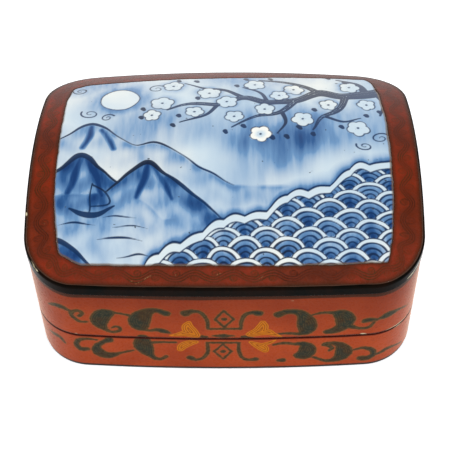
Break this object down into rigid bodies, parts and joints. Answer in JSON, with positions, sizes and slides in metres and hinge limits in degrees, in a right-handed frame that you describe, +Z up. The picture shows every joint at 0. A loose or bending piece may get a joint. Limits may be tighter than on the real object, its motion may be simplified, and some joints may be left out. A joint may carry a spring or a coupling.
{
  "type": "lacquer box",
  "caption": "Red-lacquered wooden box with rounded corners and a lift-off, arched lid inlaid with a curved porcelain piece inside a black edge band.",
  "frame": {"origin": "on the table under the middle of the box", "axes": "+Z up, +X along the long side to the right, the front faces -Y"},
  "size_m": [0.1606, 0.1248, 0.0714],
  "materials": {
    "red_lacquer": "polished vermilion lacquer on a cloth and ground coat, worn at the edges",
    "rim_lacquer": "polished red-brown lacquer",
    "black_lacquer": "polished black lacquer",
    "core_wood": "planed softwood, glued",
    "lacquer_ground": "ash and lacquer putty, matt",
    "porcelain": "clear-glazed porcelain with underglaze blue painting"
  },
  "bodies": {
    "base": {"base_front_board": "core_wood", "base_back_board": "core_wood", "base_left_board": "core_wood", "base_right_board": "core_wood", "base_front_left_corner": "core_wood", "base_front_right_corner": "core_wood", "base_back_left_corner": "core_wood", "base_back_right_corner": "core_wood", "bottom_board": "core_wood", "underside_coat": "black_lacquer", "floor_lining": "black_lacquer", "inner_lip": "black_lacquer", "base_lacquer_coat": "red_lacquer"},
    "lid": {"lid_front_board": "core_wood", "lid_back_board": "core_wood", "lid_left_board": "core_wood", "lid_right_board": "core_wood", "lid_front_left_corner": "core_wood", "lid_front_right_corner": "core_wood", "lid_back_left_corner": "core_wood", "lid_back_right_corner": "core_wood", "lid_lacquer_coat": "red_lacquer", "edge_band": "black_lacquer", "top_panel": "core_wood", "shard_bedding": "lacquer_ground", "porcelain_shard": "porcelain", "rim_ground": "lacquer_ground", "rim_lacquer": "rim_lacquer", "lid_lining": "black_lacquer"}
  },
  "joints": [
    {"name": "lid_lift", "type": "slide", "parent": "base", "child": "lid", "axis": [0, 0, 1], "range_m": [0, 0.06]}
  ]
}
